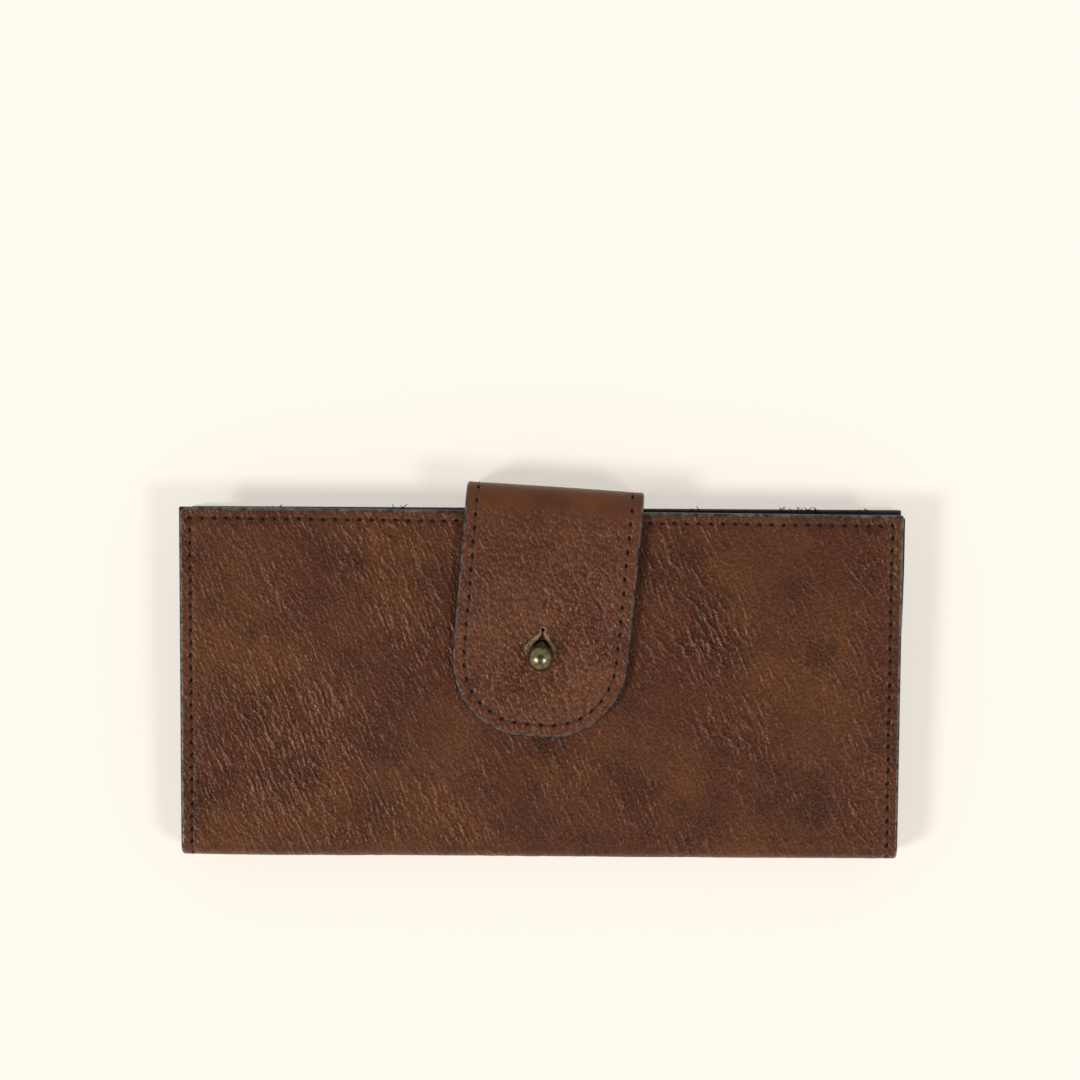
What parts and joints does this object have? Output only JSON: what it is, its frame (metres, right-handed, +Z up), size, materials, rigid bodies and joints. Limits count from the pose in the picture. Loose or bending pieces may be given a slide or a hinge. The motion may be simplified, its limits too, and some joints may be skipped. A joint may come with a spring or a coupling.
{
  "type": "long wallet",
  "caption": "Long bifold leather wallet with a wrap-over strap on a ball stud, card pockets, a note pocket and a zipped coin pocket.",
  "frame": {"origin": "centre of the back cover's outer face, which the closed wallet lies on", "axes": "+X along the fold, +Y from the fold towards the opening edge, +Z up through the closed wallet to the front cover"},
  "size_m": [0.19, 0.0986, 0.0258],
  "materials": {
    "cover_leather": "pebbled pull-up grain, softly waxed, with dark painted edges",
    "strap_leather": "smoother brown grain, worn lighter over the bend",
    "suede_lining": "black suede",
    "pocket_leather": "smooth brown leather, semi-matte",
    "waxed_thread": "dark brown waxed thread",
    "stud_brass": "antique brass, darkened in the recesses",
    "zip_brass": "aged brass",
    "black_cotton": "woven black cotton",
    "stiffener_board": "bonded leather board"
  },
  "bodies": {
    "back": {"back_cover": "cover_leather", "back_stiffener": "stiffener_board", "back_lining": "suede_lining", "back_stitching": "waxed_thread", "strap_tail": "strap_leather", "bill_pocket_panel": "pocket_leather", "coin_pocket_bag": "black_cotton", "coin_pocket_facing": "pocket_leather", "coin_pocket_stitching": "waxed_thread", "zip_tape": "black_cotton", "zip_teeth": "zip_brass", "zip_stops": "zip_brass"},
    "zip_slider": {"zip_slider": "zip_brass"},
    "zip_puller": {"zip_puller": "zip_brass"},
    "spine": {"spine_leather": "cover_leather", "spine_lining": "suede_lining"},
    "front": {"front_cover": "cover_leather", "front_lining": "suede_lining", "front_stitching": "waxed_thread", "front_slip_panel": "pocket_leather", "card_pocket_left_1": "pocket_leather", "card_pocket_left_2": "pocket_leather", "card_pocket_left_3": "pocket_leather", "card_pocket_left_4": "pocket_leather", "card_pocket_right_1": "pocket_leather", "card_pocket_right_2": "pocket_leather", "card_pocket_right_3": "pocket_leather", "card_pocket_right_4": "pocket_leather", "card_pocket_stitching": "waxed_thread", "stud_head": "stud_brass", "stud_screw": "stud_brass"},
    "strap_loop": {"strap_loop_outer": "strap_leather", "strap_loop_lining": "suede_lining"},
    "strap_flap": {"strap_flap_outer": "strap_leather", "strap_flap_lining": "suede_lining", "strap_stitching": "waxed_thread"}
  },
  "joints": [
    {"name": "spine_fold", "type": "hinge", "parent": "back", "child": "spine", "pos_m": [0, -0.0453, 0.0007], "axis": [1, 0, 0], "range_deg": [0, 84]},
    {"name": "front_fold", "type": "hinge", "parent": "spine", "child": "front", "pos_m": [0, -0.04551, 0.0133], "axis": [1, 0, 0], "range_deg": [0, 84]},
    {"name": "strap_root", "type": "hinge", "parent": "back", "child": "strap_loop", "pos_m": [0.00299, 0.04949, 0.0026], "axis": [-0.9976, 0.0698, 0], "range_deg": [0, 90], "deforming": ["strap_loop_outer", "strap_loop_lining"]},
    {"name": "strap_bend", "type": "hinge", "parent": "strap_loop", "child": "strap_flap", "pos_m": [0.00293, 0.04866, 0.01833], "axis": [-0.9976, 0.0698, 0], "range_deg": [0, 91.9], "deforming": ["strap_flap_outer", "strap_flap_lining", "strap_stitching"]},
    {"name": "zip_slide", "type": "slide", "parent": "back", "child": "zip_slider", "axis": [-1, 0, 0], "range_m": [0, 0.14]},
    {"name": "zip_pull_turn", "type": "hinge", "parent": "zip_slider", "child": "zip_puller", "pos_m": [0.07, 0.024, 0.008], "axis": [0, 0, 1], "range_deg": [-35, 35]}
  ],
  "couplings": [
    {"joint": "front_fold", "follows": "spine_fold", "ratio": 1}
  ]
}
